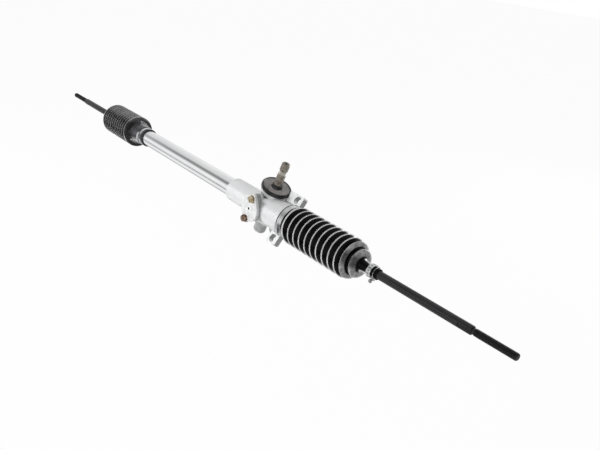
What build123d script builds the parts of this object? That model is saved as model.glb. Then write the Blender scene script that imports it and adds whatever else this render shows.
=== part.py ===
"""Manual rack and pinion steering gear with tie rods and rubber boots, in millimetres.

+X runs along the rack towards the pinion end, +Z lies in the plane of the rack and the pinion,
+Y points from the yoke to the pinion. The origin is on the rack axis between the two lug holes.
"""
import os
from math import acos, cos, degrees, pi, radians, sin, sqrt, tan

from build123d import *

# ---- clearances ----
RUNNING = 0.05          # radial gap of a turning or sliding fit
PRESS = 0.02            # radial gap left in a fit that is pressed or screwed
SOFT = 0.3              # radial gap between rubber and what moves beside it
SEAT = 0.1              # gap between stacked faces of different bodies

# ---- tube ----
TUBE_R = 15.5
TUBE_WALL = 2.5
BUSH_WALL = 2.0
BUSH_LENGTH = 32.0

# ---- rack bar ----
RACK_R = TUBE_R - TUBE_WALL - BUSH_WALL
TOOTH_TIP_Y = RACK_R - 5.0  # height of the rack's tooth tips above its axis
MODULE = 1.9
PRESSURE_ANGLE = 20.0
PINION_TEETH = 7
PROFILE_SHIFT = 0.6
RACK_DEDENDUM = 2.0
TIP_SHORTENING = 0.5    # taken off the pinion's teeth so that their tips aren't sharp
FLANK_GAP = 0.05        # each flank is thinned by this, which gives the backlash
PINION_LEAN = 19.5      # lean of the pinion from square to the rack, in degrees
PINION_X = -57.5        # where the pinion axis passes the rack axis
TEETH_MARGIN = 19.0     # toothed length kept past the mesh at each lock

# ---- stops, ball joints and tie rods ----
HOUSING_END_X = 23.0
TUBE_END_X = -472.0
STOP_GAP = 0.5
NEAR_BALL_X = 140.0
FAR_BALL_X = -548.0
BALL_R = 11.0
SEAT_WALL = 1.5
SEAT_HEIGHT = 5.0       # how far the seat reaches past the ball's centre
SOCKET_R = 16.0
MOUTH_R = 10.4          # the socket's rolled edge, which holds the ball in
SOCKET_FACE = 22.0      # from the ball's centre back to the socket's face
SOCKET_RIM = 7.5        # from the ball's centre out to the rim
SOCKET_FLATS = 10.0     # width of the socket's two spanner flats
SOCKET_FLATS_IN = 1.8   # how deep they are cut
STUD_R = 7.0
STUD_LENGTH = 16.0
WASHER_THICK = 1.2
WASHER_R = 14.5
SWING = 25.0            # free swing of a tie rod each way, in degrees
ROD_R = 6.2
BALL_NECK = 9.0         # thinner length of the rod behind the ball
BALL_NECK_R = ROD_R - 0.6
NEAR_TIP_X = 428.0
FAR_TIP_X = -822.0
THREAD_R = 5.0
THREAD_LENGTH = 60.0
THREAD_NECK = 3.0
THREAD_NECK_R = 4.3
FLATS_LENGTH = 20.0
FLATS_ACROSS = 10.6
TIP_CHAMFER = 1.2

# ---- pinion ----
FACE_HALF = 13.0        # half of the pinion's face width
JOURNAL_R = 5.0
LOWER_BUSH_WALL = 3.0
LOWER_BUSH_TOP = -17.5
LOWER_BUSH_LENGTH = 15.0
BEARING_BORE_R = 7.5
BEARING_OUTER_R = 16.0
BEARING_WIDTH = 9.0
BEARING_BOTTOM = 17.5
RACE_WALL = 2.6
CIRCLIP_THICK = 1.4
CIRCLIP_WALL = 2.4
CIRCLIP_BITE = 1.2
CIRCLIP_GAP = 7.0
SEAL_THICK = 5.0
SHAFT_TOP = 86.0
SHAFT_R = 6.2
SPLINE_R = 6.9
SPLINE_COUNT = 30
SPLINE_DEPTH = 0.6
SPLINE_START = 50.0
GROOVE_R = 5.6          # groove that the joint's pinch bolt passes through
GROOVE_BOTTOM = 66.5
GROOVE_TOP = 72.0
END_CHAMFER = 1.2
END_HOLE_R = 2.2
END_HOLE_DEPTH = 6.0

# ---- housing ----
SLEEVE_START_X = -139.0
SLEEVE_R = TUBE_R + 4.9
SLEEVE_DEPTH = 46.0
BARREL_R = 24.3
BARREL_START_X = -42.0
BARREL_TAPER = 20.0
COLLAR_R = 25.6
COLLAR_START_X = 9.0
BORE_R = RACK_R + 1.6
TOWER_R = 20.5
TOWER_TOP = 33.5
FLANGE_R = 23.4
FLANGE_THICK = 5.5
BOSS_R = 15.0
BOSS_BOTTOM = -53.0
BOSS_END_R = 10.6
BOSS_END = 12.0         # length of the boss's narrow end
GUSSET_THICK = 6.0
GUSSET_RUN = 22.0       # how far a lug's gusset runs towards the tube
GUSSET_TOP = 33.0
LUG_HOLE_R = 6.5
LUG_SPREAD = 35.5       # from the rack axis to a lug hole
LUG_TIP = 44.5
LUG_HALF_WIDTH = 11.0
LUG_THICK = 10.0
LUG_ANGLE = 55.0        # the lugs' plane, turned from level about the rack axis
BACK_LUG_EXTRA = 13.0   # the rear lug runs this much further towards the tube
LUG_CORNER = 4.0

# ---- yoke ----
YOKE_R = RACK_R + 2.0
YOKE_TIP = RACK_R - 6.0  # how far from the rack axis the yoke's jaws begin
YOKE_BACK = RACK_R + 9.5
PAD_WALL = 0.6
SPRING_POCKET_R = 6.6
SPRING_POCKET_FLOOR = RACK_R + 3.5
SPRING_R = 5.0
SPRING_WIRE = 2.0       # the spring is wound from square wire
SPRING_TURNS = 2.5
COVER_FACE = RACK_R + 13.5  # boss face that the cover is bolted to
GASKET_THICK = 0.5
COVER_THICK = 5.0
COVER_R = 21.5
EAR_R = 7.8
BOLT_SPREAD = 20.0
BOLT_R = 3.0
BOLT_GRIP = 12.0
BOLT_HEAD = 4.2
BOLT_ACROSS = 10.0
WASHER_FACE_R = 6.4
WASHER_FACE = 1.4
O_RING_R = 1.1
O_RING_SEAT = RACK_R + 6.5
DIMPLE_R = 2.2
DIMPLE_DEPTH = 2.5

# ---- rubber cover on the tower ----
COVER_DISC_R = 25.2
COVER_DISC_THICK = 7.3
COVER_DISH = 1.2        # how far the disc's top lies below its rim
COVER_RIM = 3.6         # width of the raised rim
COVER_NECK_R = 8.6
COVER_NECK = 3.6
COVER_EDGE = 1.5
COVER_PEG_R = 2.2       # the peg moulded on the rim, which shows how far the cover is turned
COVER_PEG_ANGLE = 10.0

# ---- boots and clamps ----
BOOT_WALL = 1.6
NEAR_LIP_X = 11.4
NEAR_CUFF = 12.0
NEAR_FIRST_CREST_X = 28.5
NEAR_LAST_CREST_X = 158.0
NEAR_CREST_COUNT = 11
CREST_R = 31.0
VALLEY_R = 24.6
SMALL_CREST_X = 169.5
SMALL_CREST_R = 21.5
NECK_X = 178.0
NECK_R = 9.2
NEAR_GRIP_X = 195.0
NEAR_BOOT_END_X = 207.0
FAR_LIP_X = -450.5
FAR_CUFF = 13.5
FAR_NECK_R = TUBE_R + 4.5
FAR_NECK_X = -493.0
FAR_FIRST_CREST_X = -502.0
FAR_LAST_CREST_X = -599.0
FAR_CREST_COUNT = 12
FAR_CREST_R = 31.2
FAR_VALLEY_R = 26.4
FAR_SHOULDER_X = -612.0
FAR_GRIP_X = -628.0
FAR_BOOT_END_X = -640.0
BAND_THICK = 0.9
NEAR_BAND = 9.4
FAR_BAND = 7.0
NEAR_BAND_IN = 1.4      # from a boot's lip to its clamp
FAR_BAND_IN = 6.0
GRIP_BAND = 7.6
LUG_OF_BAND = 5.0       # height of a clamp's screw housing
BAND_SCREW_R = 2.0
NEAR_SCREW_ANGLE = 12.0
FAR_SCREW_ANGLE = 190.0
GRIP_SCREW_ANGLE = 120.0

# ---- worked out from the above ----
LEAN = radians(PINION_LEAN)
PITCH_R = PINION_TEETH * MODULE / 2
PINION_Y = TOOTH_TIP_Y + PITCH_R + PROFILE_SHIFT * MODULE - MODULE
PINION_TIP_R = PITCH_R + MODULE * (1 + PROFILE_SHIFT) - TIP_SHORTENING
TOOTH_PITCH = pi * MODULE
RACK_PITCH_X = TOOTH_PITCH / cos(LEAN)
NEAR_FACE_X = NEAR_BALL_X - SOCKET_FACE
FAR_FACE_X = FAR_BALL_X + SOCKET_FACE
TRAVEL_BACK = NEAR_FACE_X - WASHER_THICK - HOUSING_END_X - STOP_GAP
TRAVEL_OUT = TUBE_END_X - FAR_FACE_X - WASHER_THICK - STOP_GAP
REST_SHIFT = (TRAVEL_BACK - TRAVEL_OUT) / 2

ON_BASE = (Align.CENTER, Align.CENTER, Align.MIN)
RACK_FRAME = Plane(origin=(0, 0, 0), x_dir=(0, -1, 0), z_dir=(1, 0, 0)).location
FAR_FRAME = Plane(origin=(0, 0, 0), x_dir=(0, 1, 0), z_dir=(-1, 0, 0)).location
PINION_FRAME = Plane(
    origin=(PINION_X, PINION_Y, 0), x_dir=(0, -1, 0), z_dir=(sin(LEAN), 0, cos(LEAN))
).location
YOKE_FRAME = Plane(
    origin=(PINION_X, 0, 0), x_dir=(cos(LEAN), 0, -sin(LEAN)), z_dir=(0, -1, 0)
).location
LUG_TURN = radians(LUG_ANGLE)
LUG_FRAME = Plane(
    origin=(0, 0, 0),
    x_dir=(1, 0, 0),
    z_dir=(0, -sin(LUG_TURN), cos(LUG_TURN)),
).location


def bar(frame, start, end, radius, end_radius=None):
    """A round bar or a cone along the frame's own Z, from start to end."""
    if end_radius is None:
        shape = Cylinder(radius, end - start, align=ON_BASE)
    else:
        shape = Cone(radius, end_radius, end - start, align=ON_BASE)
    return frame * Pos(0, 0, start) * shape


def ring(frame, start, end, inner, outer):
    """A plain ring along the frame's own Z."""
    return bar(frame, start, end, outer) - bar(frame, start - 1, end + 1, inner)


def turned(frame, profile):
    """A solid of revolution about the frame's own Z, from (height, radius) corners."""
    corners = [(radius, 0, height) for height, radius in profile]
    outline = make_face(Polyline(*corners, close=True))
    return frame * revolve(outline, Axis.Z)


# ---- rack ----
def tooth_gaps():
    """Cutters for the gaps between the rack's teeth, which lie along the pinion's axis."""
    reference = TOOTH_TIP_Y - MODULE
    slope = tan(radians(PRESSURE_ANGLE))
    depth = MODULE + RACK_DEDENDUM
    half_top = TOOTH_PITCH / 4 + MODULE * slope + FLANK_GAP
    half_root = half_top - depth * slope
    over = 1.0
    profile = Polyline(
        (-half_top - over * slope, MODULE + over),
        (half_top + over * slope, MODULE + over),
        (half_root, -RACK_DEDENDUM),
        (-half_root, -RACK_DEDENDUM),
        close=True,
    )
    long = RACK_R * 1.6
    section = extrude(make_face(profile), long, both=True)
    travel = TRAVEL_BACK + TRAVEL_OUT
    half_length = travel / 2 + TEETH_MARGIN
    centre = PINION_X + REST_SHIFT
    first = round((centre - half_length - PINION_X) / RACK_PITCH_X)
    last = round((centre + half_length - PINION_X) / RACK_PITCH_X)
    cutters = []
    for step in range(first, last + 1):
        place = Plane(
            origin=(PINION_X + (step + 0.5) * RACK_PITCH_X, reference, 0),
            x_dir=(cos(LEAN), 0, -sin(LEAN)),
            z_dir=(sin(LEAN), 0, cos(LEAN)),
        ).location
        cutters.append(place * section)
    start = PINION_X + (first + 0.5) * RACK_PITCH_X
    end = PINION_X + (last + 0.5) * RACK_PITCH_X
    return cutters, start, end


def rack_bar():
    """The round bar with its teeth, and a tapped hole in each end for a ball socket."""
    start = FAR_FACE_X + WASHER_THICK
    end = NEAR_FACE_X - WASHER_THICK
    body = bar(RACK_FRAME, start, end, RACK_R)
    cutters, teeth_start, teeth_end = tooth_gaps()
    flat = Pos((teeth_start + teeth_end) / 2, TOOTH_TIP_Y, 0) * Box(
        teeth_end - teeth_start, RACK_R, 2.2 * RACK_R, align=(Align.CENTER, Align.MIN, Align.CENTER)
    )
    body = body - flat
    body = body - cutters
    hole = STUD_R + PRESS
    body = body - bar(RACK_FRAME, end - STUD_LENGTH - 2, end + 1, hole)
    return body - bar(RACK_FRAME, start - 1, start + STUD_LENGTH + 2, hole)


def lock_washer(frame, face):
    """Tab washer between a ball socket and the rack's end."""
    return ring(frame, face - WASHER_THICK, face, STUD_R + PRESS, WASHER_R)


def ball_socket(frame, ball):
    """Inner ball housing: stud into the rack, cup round the ball's seat, rolled mouth."""
    face = ball - SOCKET_FACE
    cup = BALL_R + SEAT_WALL
    body = turned(
        frame,
        [
            (face - STUD_LENGTH, 0),
            (face - STUD_LENGTH, STUD_R - 1),
            (face - STUD_LENGTH + 1, STUD_R),
            (face, STUD_R),
            (face, SOCKET_R - 1),
            (face + 1, SOCKET_R),
            (ball + 1, SOCKET_R),
            (ball + SOCKET_RIM, MOUTH_R + 2.8),
            (ball + SOCKET_RIM, MOUTH_R + 1.6),
            (ball + SEAT_HEIGHT + PRESS, MOUTH_R),
            (ball + SEAT_HEIGHT + PRESS, cup),
            (ball - cup, cup),
            (ball - cup, 0),
        ],
    )
    flat = Pos(0, 0, face + 2 + SOCKET_FLATS / 2) * Box(4 * SOCKET_R, SOCKET_R, SOCKET_FLATS)
    for side in (1, -1):
        body = body - frame * Pos(0, side * (1.5 * SOCKET_R - SOCKET_FLATS_IN), 0) * flat
    return body


def ball_seat(frame, ball):
    """Plastic cup that the ball turns in."""
    cup = BALL_R + SEAT_WALL
    shell = bar(frame, ball - cup + PRESS, ball + SEAT_HEIGHT, cup - PRESS)
    return shell - frame * Pos(0, 0, ball) * Sphere(BALL_R + RUNNING)


def tie_rod(frame, ball, tip):
    """Tie rod with its ball forged on, spanner flats and a threaded end."""
    thread_start = tip - THREAD_LENGTH
    flats_end = thread_start - THREAD_NECK
    neck_end = ball + BALL_R + BALL_NECK
    body = turned(
        frame,
        [
            (ball, 0),
            (ball, BALL_NECK_R),
            (neck_end, BALL_NECK_R),
            (neck_end + 3, ROD_R),
            (flats_end - 1, ROD_R),
            (flats_end, ROD_R - 1),
            (flats_end, THREAD_NECK_R),
            (thread_start, THREAD_NECK_R),
            (thread_start + 0.7, THREAD_R),
            (tip - TIP_CHAMFER, THREAD_R),
            (tip, THREAD_R - TIP_CHAMFER),
            (tip, 0),
        ],
    )
    body = body + frame * Pos(0, 0, ball) * Sphere(BALL_R)
    body = body - bar(frame, ball - BALL_R - 1, ball - BALL_R + 0.8, BALL_R)
    flat = Box(ROD_R, 4 * ROD_R, FLATS_LENGTH, align=(Align.MIN, Align.CENTER, Align.MIN))
    for turn in (0, 180):
        body = body - frame * Pos(0, 0, flats_end - FLATS_LENGTH) * Rot(0, 0, turn) * Pos(
            FLATS_ACROSS / 2, 0, 0
        ) * flat
    return body


# ---- pinion ----
def involute_point(base, radius, phase, side):
    """A point of an involute at a radius; phase is its angle at the base circle."""
    pressure = acos(min(1.0, base / radius))
    angle = phase - side * (tan(pressure) - pressure)
    return radius * cos(angle), radius * sin(angle)


def pinion_section():
    """Outline of the pinion's teeth, square to its axis, with a gap facing the rack."""
    pressure = radians(PRESSURE_ANGLE)
    base = PITCH_R * cos(pressure)
    tip = PINION_TIP_R
    root = PITCH_R + MODULE * (PROFILE_SHIFT - 1.25)
    foot = root - 0.5
    half_pitch = (pi / 2 + 2 * PROFILE_SHIFT * tan(pressure)) / PINION_TEETH
    half_base = half_pitch + tan(pressure) - pressure - FLANK_GAP / base
    section = Circle(root)
    for tooth in range(PINION_TEETH):
        middle = 2 * pi * (tooth + 0.5) / PINION_TEETH
        crest = (tip * cos(middle), tip * sin(middle))
        flanks = []
        for side in (-1, 1):
            phase = middle + side * half_base
            radii = [base, base + 0.15, base + 0.6, (base + tip) / 2, tip]
            flank = [involute_point(base, radius, phase, side) for radius in radii]
            heel = (foot * cos(phase), foot * sin(phase))
            flanks.append((heel, flank))
        (rise_heel, rise), (fall_heel, fall) = flanks
        edges = [
            Line(rise_heel, rise[0]),
            Spline(*rise),
            ThreePointArc(rise[-1], crest, fall[-1]),
            Spline(*fall),
            Line(fall[0], fall_heel),
            Line(fall_heel, rise_heel),
        ]
        section = section + make_face(edges)
    return section


def spline_section():
    """Outline of the splined end: fine V ridges round the shaft."""
    corners = []
    for ridge in range(SPLINE_COUNT):
        for share, radius in ((0.0, SPLINE_R - SPLINE_DEPTH), (0.5, SPLINE_R)):
            angle = 2 * pi * (ridge + share) / SPLINE_COUNT
            corners.append((radius * cos(angle), radius * sin(angle)))
    return make_face(Polyline(*corners, close=True))


def splined_end():
    """Splined end of the shaft, chamfered, with the pinch bolt's groove and a centre hole."""
    root = SPLINE_R - SPLINE_DEPTH
    over = SPLINE_R + 0.1
    envelope = turned(
        Location(),
        [
            (SPLINE_START, 0),
            (SPLINE_START, root),
            (SPLINE_START + 2 * SPLINE_DEPTH, over),
            (GROOVE_BOTTOM - 1, over),
            (GROOVE_BOTTOM, GROOVE_R),
            (GROOVE_TOP, GROOVE_R),
            (GROOVE_TOP + 1, over),
            (SHAFT_TOP - END_CHAMFER, over),
            (SHAFT_TOP, over - END_CHAMFER),
            (SHAFT_TOP, END_HOLE_R),
            (SHAFT_TOP - END_HOLE_DEPTH, END_HOLE_R),
            (SHAFT_TOP - END_HOLE_DEPTH, 0),
        ],
    )
    ridges = Pos(0, 0, SPLINE_START) * extrude(spline_section(), SHAFT_TOP - SPLINE_START)
    return PINION_FRAME * (ridges & envelope)


def pinion_shaft():
    """Input shaft: splined top, bearing seat, seven leaning teeth and the lower journal."""
    lower_end = LOWER_BUSH_TOP - LOWER_BUSH_LENGTH + 0.5
    root = SPLINE_R - SPLINE_DEPTH
    core = turned(
        PINION_FRAME,
        [
            (lower_end, 0),
            (lower_end, JOURNAL_R - 0.6),
            (lower_end + 0.6, JOURNAL_R),
            (-FACE_HALF, JOURNAL_R),
            (FACE_HALF, JOURNAL_R),
            (FACE_HALF, BEARING_BORE_R + 1.2),
            (BEARING_BOTTOM, BEARING_BORE_R + 1.2),
            (BEARING_BOTTOM, BEARING_BORE_R),
            (TOWER_TOP + 4, BEARING_BORE_R),
            (TOWER_TOP + 5, SHAFT_R),
            (SPLINE_START - 1, SHAFT_R),
            (SPLINE_START, root),
            (SPLINE_START, 0),
        ],
    )
    teeth = PINION_FRAME * extrude(pinion_section(), FACE_HALF, both=True)
    return core + teeth + splined_end()


def bearing_races():
    """Upper ball bearing: outer race with its shields, and inner race."""
    bottom = BEARING_BOTTOM
    top = bottom + BEARING_WIDTH
    shoulder = BEARING_BORE_R + RACE_WALL
    outer = ring(PINION_FRAME, bottom, top, shoulder + RUNNING, BEARING_OUTER_R - PRESS)
    inner = ring(PINION_FRAME, bottom, top, BEARING_BORE_R + PRESS, shoulder)
    return outer, inner


def circlip():
    """Open ring that holds the bearing down, sprung into a groove of the tower."""
    bottom = BEARING_BOTTOM + BEARING_WIDTH
    outer = BEARING_OUTER_R + CIRCLIP_BITE
    whole = ring(PINION_FRAME, bottom + 0.05, bottom + CIRCLIP_THICK, outer - CIRCLIP_WALL - 1, outer - PRESS)
    gap = PINION_FRAME * Pos(outer, 0, bottom) * Box(outer, CIRCLIP_GAP, 4 * CIRCLIP_THICK)
    return whole - gap


def pinion_seal():
    """Rubber lip seal above the circlip."""
    bottom = BEARING_BOTTOM + BEARING_WIDTH + CIRCLIP_THICK + SEAT
    top = bottom + SEAL_THICK
    lip = BEARING_BORE_R + RUNNING
    return turned(
        PINION_FRAME,
        [
            (bottom, lip + 2.5),
            (bottom, BEARING_OUTER_R - PRESS),
            (top, BEARING_OUTER_R - PRESS),
            (top, lip + 1),
            (top - 1, lip),
            (top - 2, lip + 1.5),
        ],
    )


def lower_bush():
    """Bush of the pinion's lower journal."""
    bottom = LOWER_BUSH_TOP - LOWER_BUSH_LENGTH
    return ring(PINION_FRAME, bottom, LOWER_BUSH_TOP, JOURNAL_R + RUNNING, JOURNAL_R + LOWER_BUSH_WALL - PRESS)


def bottom_plug():
    """Pressed cap that closes the housing under the pinion."""
    inner = JOURNAL_R + LOWER_BUSH_WALL - PRESS
    return turned(
        PINION_FRAME,
        [
            (BOSS_BOTTOM + 7, 0),
            (BOSS_BOTTOM + 7, inner),
            (BOSS_BOTTOM, inner),
            (BOSS_BOTTOM, inner + 1.6),
            (BOSS_BOTTOM - 1.5, inner + 1.6),
            (BOSS_BOTTOM - 4, inner - 2),
            (BOSS_BOTTOM - 4, 0),
        ],
    )


def dust_cover():
    """Rubber cover on top of the tower: a dished disc with a raised rim and a neck."""
    bottom = TOWER_TOP
    top = bottom + COVER_DISC_THICK
    floor = top - COVER_DISH
    inner = BEARING_BORE_R + SOFT
    throat = SHAFT_R + SOFT
    disc = turned(
        PINION_FRAME,
        [
            (bottom, inner),
            (bottom, COVER_DISC_R - COVER_EDGE),
            (bottom + COVER_EDGE, COVER_DISC_R),
            (top - COVER_EDGE, COVER_DISC_R),
            (top, COVER_DISC_R - COVER_EDGE),
            (top, COVER_DISC_R - COVER_RIM + COVER_DISH),
            (floor, COVER_DISC_R - COVER_RIM),
            (floor, COVER_NECK_R + 0.6),
            (floor + COVER_NECK, COVER_NECK_R - 0.6),
            (top + COVER_NECK, COVER_NECK_R - 0.6),
            (top + COVER_NECK, throat),
            (top + COVER_NECK - 1.5, throat),
            (top + COVER_NECK - 2.5, inner),
        ],
    )
    peg = Pos(COVER_DISC_R - COVER_RIM / 2, 0, 0) * bar(
        Location(), top - COVER_EDGE - 1, top + COVER_PEG_R / 2, COVER_PEG_R
    )
    return disc + PINION_FRAME * Rot(0, 0, COVER_PEG_ANGLE) * peg


# ---- housing ----
def cover_outline():
    """Outline of the yoke cover: a disc with a bolt ear above and below."""
    ears = [Pos(0, side * BOLT_SPREAD) * Circle(EAR_R) for side in (1, -1)]
    edges = [edge for shape in [Circle(COVER_R), *ears] for edge in shape.edges()]
    return make_hull(edges)


def lug(side):
    """One mounting lug: a flat plate with rounded tip corners, in the lugs' frame."""
    low = -LUG_HALF_WIDTH - (BACK_LUG_EXTRA if side > 0 else 0)
    width = LUG_HALF_WIDTH - low
    plate = Pos(low + width / 2, side * LUG_TIP / 2, -LUG_THICK / 2) * Box(width, LUG_TIP, LUG_THICK)
    tips = [edge for edge in plate.edges().filter_by(Axis.Z) if edge.center().Y * side > LUG_TIP / 2]
    corners = [
        (-LUG_HALF_WIDTH, 0),
        (-LUG_HALF_WIDTH, side * GUSSET_TOP),
        (-LUG_HALF_WIDTH - GUSSET_RUN, side * GUSSET_TOP / 2),
        (-LUG_HALF_WIDTH - GUSSET_RUN, 0),
    ]
    gusset = Pos(0, 0, -(LUG_THICK + GUSSET_THICK) / 2) * extrude(
        make_face(Polyline(*corners, close=True)), GUSSET_THICK
    )
    return LUG_FRAME * (fillet(tips, LUG_CORNER) + gusset)


def lug_hole(side):
    """Cutter for one lug's bolt hole."""
    return LUG_FRAME * Pos(0, side * LUG_SPREAD, -2 * LUG_THICK) * Cylinder(
        LUG_HOLE_R, 4 * LUG_THICK, align=ON_BASE
    )


def bolt_places():
    """Places of the two cover bolts, in the yoke's frame."""
    return [Pos(0, side * BOLT_SPREAD, 0) for side in (1, -1)]


def pinion_housing():
    """Cast aluminium housing: sleeve, barrel, pinion tower, yoke boss and two lugs."""
    taper_start = BARREL_START_X - BARREL_TAPER
    outer = turned(
        RACK_FRAME,
        [
            (SLEEVE_START_X, 0),
            (SLEEVE_START_X, SLEEVE_R - 1.5),
            (SLEEVE_START_X + 1.5, SLEEVE_R),
            (taper_start, SLEEVE_R),
            (BARREL_START_X, BARREL_R),
            (COLLAR_START_X - 2.0, BARREL_R),
            (COLLAR_START_X, COLLAR_R),
            (HOUSING_END_X - 1.0, COLLAR_R),
            (HOUSING_END_X, COLLAR_R - 1.0),
            (HOUSING_END_X, 0),
        ],
    )
    tower = bar(PINION_FRAME, 0, TOWER_TOP - FLANGE_THICK, TOWER_R)
    flange = turned(
        PINION_FRAME,
        [
            (TOWER_TOP - FLANGE_THICK - 2.5, 0),
            (TOWER_TOP - FLANGE_THICK - 2.5, TOWER_R),
            (TOWER_TOP - FLANGE_THICK, FLANGE_R),
            (TOWER_TOP, FLANGE_R),
            (TOWER_TOP, 0),
        ],
    )
    boss = turned(
        PINION_FRAME,
        [
            (0, 0),
            (0, BOSS_R + 2),
            (LOWER_BUSH_TOP, BOSS_R),
            (BOSS_BOTTOM + BOSS_END + 4, BOSS_R - 1.5),
            (BOSS_BOTTOM + BOSS_END, BOSS_END_R),
            (BOSS_BOTTOM + 0.8, BOSS_END_R),
            (BOSS_BOTTOM, BOSS_END_R - 0.8),
            (BOSS_BOTTOM, 0),
        ],
    )
    yoke_boss = YOKE_FRAME * extrude(cover_outline(), COVER_FACE)
    body = outer + tower + flange + boss + yoke_boss + lug(1) + lug(-1)
    return body - housing_bores()


def housing_bores():
    """Everything that is bored, tapped or drilled in the housing."""
    pocket_top = BEARING_BOTTOM + BEARING_WIDTH
    bore = bar(RACK_FRAME, SLEEVE_START_X - 1, HOUSING_END_X + 1, BORE_R)
    socket = bar(RACK_FRAME, SLEEVE_START_X - 1, SLEEVE_START_X + SLEEVE_DEPTH, TUBE_R + PRESS)
    well = bar(PINION_FRAME, LOWER_BUSH_TOP, BEARING_BOTTOM, PINION_TIP_R + 2 * SOFT)
    pocket = bar(PINION_FRAME, BEARING_BOTTOM, TOWER_TOP + 1, BEARING_OUTER_R)
    groove = bar(PINION_FRAME, pocket_top, pocket_top + CIRCLIP_THICK + 0.1, BEARING_OUTER_R + CIRCLIP_BITE)
    journal = bar(PINION_FRAME, BOSS_BOTTOM - 1, LOWER_BUSH_TOP, JOURNAL_R + LOWER_BUSH_WALL)
    yoke_bore = bar(YOKE_FRAME, 0, COVER_FACE + 1, YOKE_R + RUNNING)
    relief = bar(PINION_FRAME, TOWER_TOP, TOWER_TOP + 3 * COVER_DISC_THICK, COVER_DISC_R + 3 * SOFT)
    cutters = [bore, socket, well, pocket, groove, journal, yoke_bore, relief, lug_hole(1), lug_hole(-1)]
    for place in bolt_places():
        cutters.append(
            YOKE_FRAME * place * Pos(0, 0, COVER_FACE - BOLT_GRIP) * Cylinder(
                BOLT_R + PRESS, 2 * BOLT_GRIP, align=ON_BASE
            )
        )
    return cutters


def rack_tube():
    """Steel tube pressed into the housing's sleeve."""
    start = TUBE_END_X
    end = SLEEVE_START_X + SLEEVE_DEPTH - SEAT
    return ring(RACK_FRAME, start, end, TUBE_R - TUBE_WALL, TUBE_R)


def rack_bush():
    """Plastic bush that guides the rack at the tube's open end."""
    return ring(RACK_FRAME, TUBE_END_X, TUBE_END_X + BUSH_LENGTH, RACK_R + RUNNING, TUBE_R - TUBE_WALL - PRESS)


# ---- yoke ----
def yoke_slipper():
    """Sliding yoke that the spring presses on the rack's back."""
    hollow = RACK_R + RUNNING + PAD_WALL + PRESS
    body = bar(YOKE_FRAME, YOKE_TIP, YOKE_BACK, YOKE_R)
    body = body - bar(RACK_FRAME, PINION_X - 2 * YOKE_R, PINION_X + 2 * YOKE_R, hollow)
    body = body - bar(YOKE_FRAME, SPRING_POCKET_FLOOR, YOKE_BACK + 1, SPRING_POCKET_R)
    groove = 1.7 * O_RING_R
    return body - ring(
        YOKE_FRAME, O_RING_SEAT - O_RING_R - PRESS, O_RING_SEAT + O_RING_R + PRESS,
        YOKE_R - groove - PRESS, YOKE_R + 1,
    )


def yoke_pad():
    """Thin low-friction liner between the yoke and the rack."""
    inner = RACK_R + RUNNING
    shell = ring(RACK_FRAME, PINION_X - YOKE_R, PINION_X + YOKE_R, inner, inner + PAD_WALL)
    return shell & bar(YOKE_FRAME, YOKE_TIP, YOKE_BACK, YOKE_R - 0.6)


def yoke_o_ring():
    """Square-cut rubber ring in the yoke's groove."""
    outer = YOKE_R
    return ring(
        YOKE_FRAME, O_RING_SEAT - O_RING_R, O_RING_SEAT + O_RING_R, outer - 1.7 * O_RING_R, outer
    )


def yoke_spring():
    """Coil spring between the yoke and its cover."""
    start = SPRING_POCKET_FLOOR + SPRING_WIRE / 2 + PRESS
    height = COVER_FACE - PRESS - SPRING_WIRE / 2 - start
    path = Helix(height / SPRING_TURNS, height, SPRING_R)
    section = Plane(origin=path @ 0, x_dir=(1, 0, 0), z_dir=path % 0) * Rectangle(SPRING_WIRE, SPRING_WIRE)
    return YOKE_FRAME * Pos(0, 0, start) * sweep(section, path=path, is_frenet=True)


def gasket():
    """Paper gasket that also sets the yoke's play."""
    sheet = extrude(cover_outline(), GASKET_THICK)
    sheet = sheet - Pos(0, 0, -1) * Cylinder(YOKE_R, 3, align=ON_BASE)
    for place in bolt_places():
        sheet = sheet - place * Cylinder(BOLT_R + SOFT, 4)
    return YOKE_FRAME * Pos(0, 0, COVER_FACE) * sheet


def yoke_cover():
    """Zinc plate over the yoke, with a small dimple in its middle."""
    plate = extrude(cover_outline(), COVER_THICK)
    plate = chamfer(plate.faces().sort_by(Axis.Z)[-1].edges(), 0.8)
    for place in bolt_places():
        plate = plate - place * Cylinder(BOLT_R + SOFT, 3 * COVER_THICK)
    plate = plate - Pos(0, 0, COVER_THICK - DIMPLE_DEPTH) * Cylinder(DIMPLE_R, DIMPLE_DEPTH, align=ON_BASE)
    return YOKE_FRAME * Pos(0, 0, COVER_FACE + GASKET_THICK) * plate


def cover_bolts():
    """Two hexagon bolts with washer faces that hold the cover."""
    face = COVER_FACE + GASKET_THICK + COVER_THICK
    bolts = []
    for place in bolt_places():
        shank = bar(Location(), COVER_FACE - BOLT_GRIP + 2, face, BOLT_R)
        washer = bar(Location(), face, face + WASHER_FACE, WASHER_FACE_R)
        hexagon = RegularPolygon(BOLT_ACROSS / 2, 6, major_radius=False)
        head = Pos(0, 0, face + WASHER_FACE) * extrude(hexagon, BOLT_HEAD)
        top = face + WASHER_FACE + BOLT_HEAD
        crown = bar(Location(), face, top - 1, 2 * BOLT_ACROSS) + bar(
            Location(), top - 1, top, BOLT_ACROSS / 2 + 1.2, BOLT_ACROSS / 2 - 0.2
        )
        bolts.append(YOKE_FRAME * place * (shank + washer + (head & crown)))
    return bolts


# ---- boots and their clamps ----
def folds(first, last, count, crest, valley):
    """Corners of a row of folds with straight flanks, from the first crest to the last."""
    pitch = (last - first) / (count - 1)
    corners = [(first, crest)]
    for step in range(1, count):
        corners += [(first + (step - 0.5) * pitch, valley), (first + step * pitch, crest)]
    return corners


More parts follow.
